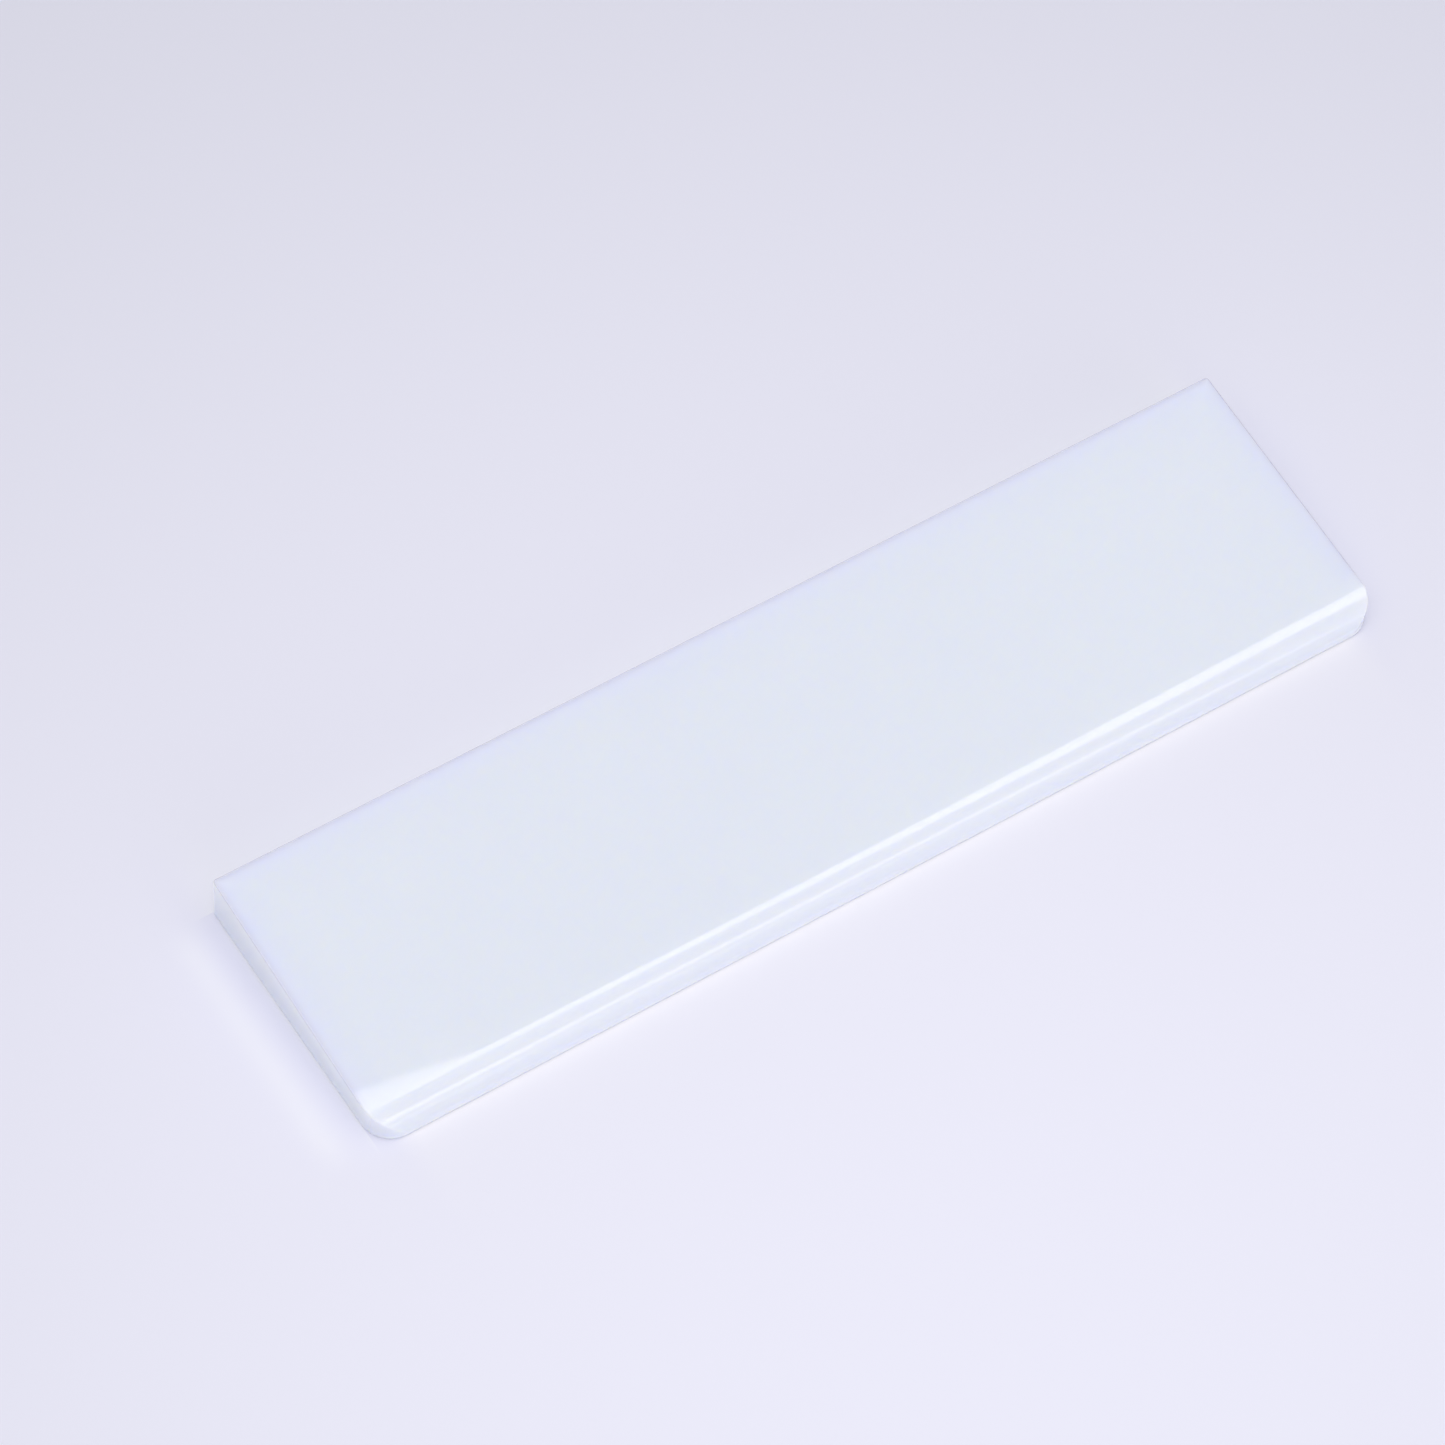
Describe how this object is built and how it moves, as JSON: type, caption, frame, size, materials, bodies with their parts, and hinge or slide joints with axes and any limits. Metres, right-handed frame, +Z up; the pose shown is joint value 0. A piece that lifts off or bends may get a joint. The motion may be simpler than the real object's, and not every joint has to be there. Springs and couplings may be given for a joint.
{
  "type": "keyboard palm rest",
  "caption": "Wedge-shaped palm rest slab in glossy milk-white acrylic, thick at the back, with a quarter-round nose along the front edge, on thin stick-on anti-slip feet.",
  "frame": {"origin": "middle of the footprint on the table, at the underside of the feet", "axes": "+X along the length to the right-hand end, +Y from the rounded front edge to the upright back face, +Z up"},
  "size_m": [0.361, 0.095, 0.018],
  "materials": {
    "milk_acrylic": "polished, slightly translucent milk white",
    "foot_rubber": "matte translucent silicone rubber",
    "foot_adhesive": "thin clear adhesive film"
  },
  "bodies": {
    "root": {"slab": "milk_acrylic", "foot_front_left": "foot_rubber", "foot_front_centre": "foot_rubber", "foot_front_right": "foot_rubber", "foot_back_left": "foot_rubber", "foot_back_centre": "foot_rubber", "foot_back_right": "foot_rubber", "adhesive_disc_front_left": "foot_adhesive", "adhesive_disc_front_centre": "foot_adhesive", "adhesive_disc_front_right": "foot_adhesive", "adhesive_disc_back_left": "foot_adhesive", "adhesive_disc_back_centre": "foot_adhesive", "adhesive_disc_back_right": "foot_adhesive"}
  },
  "joints": []
}
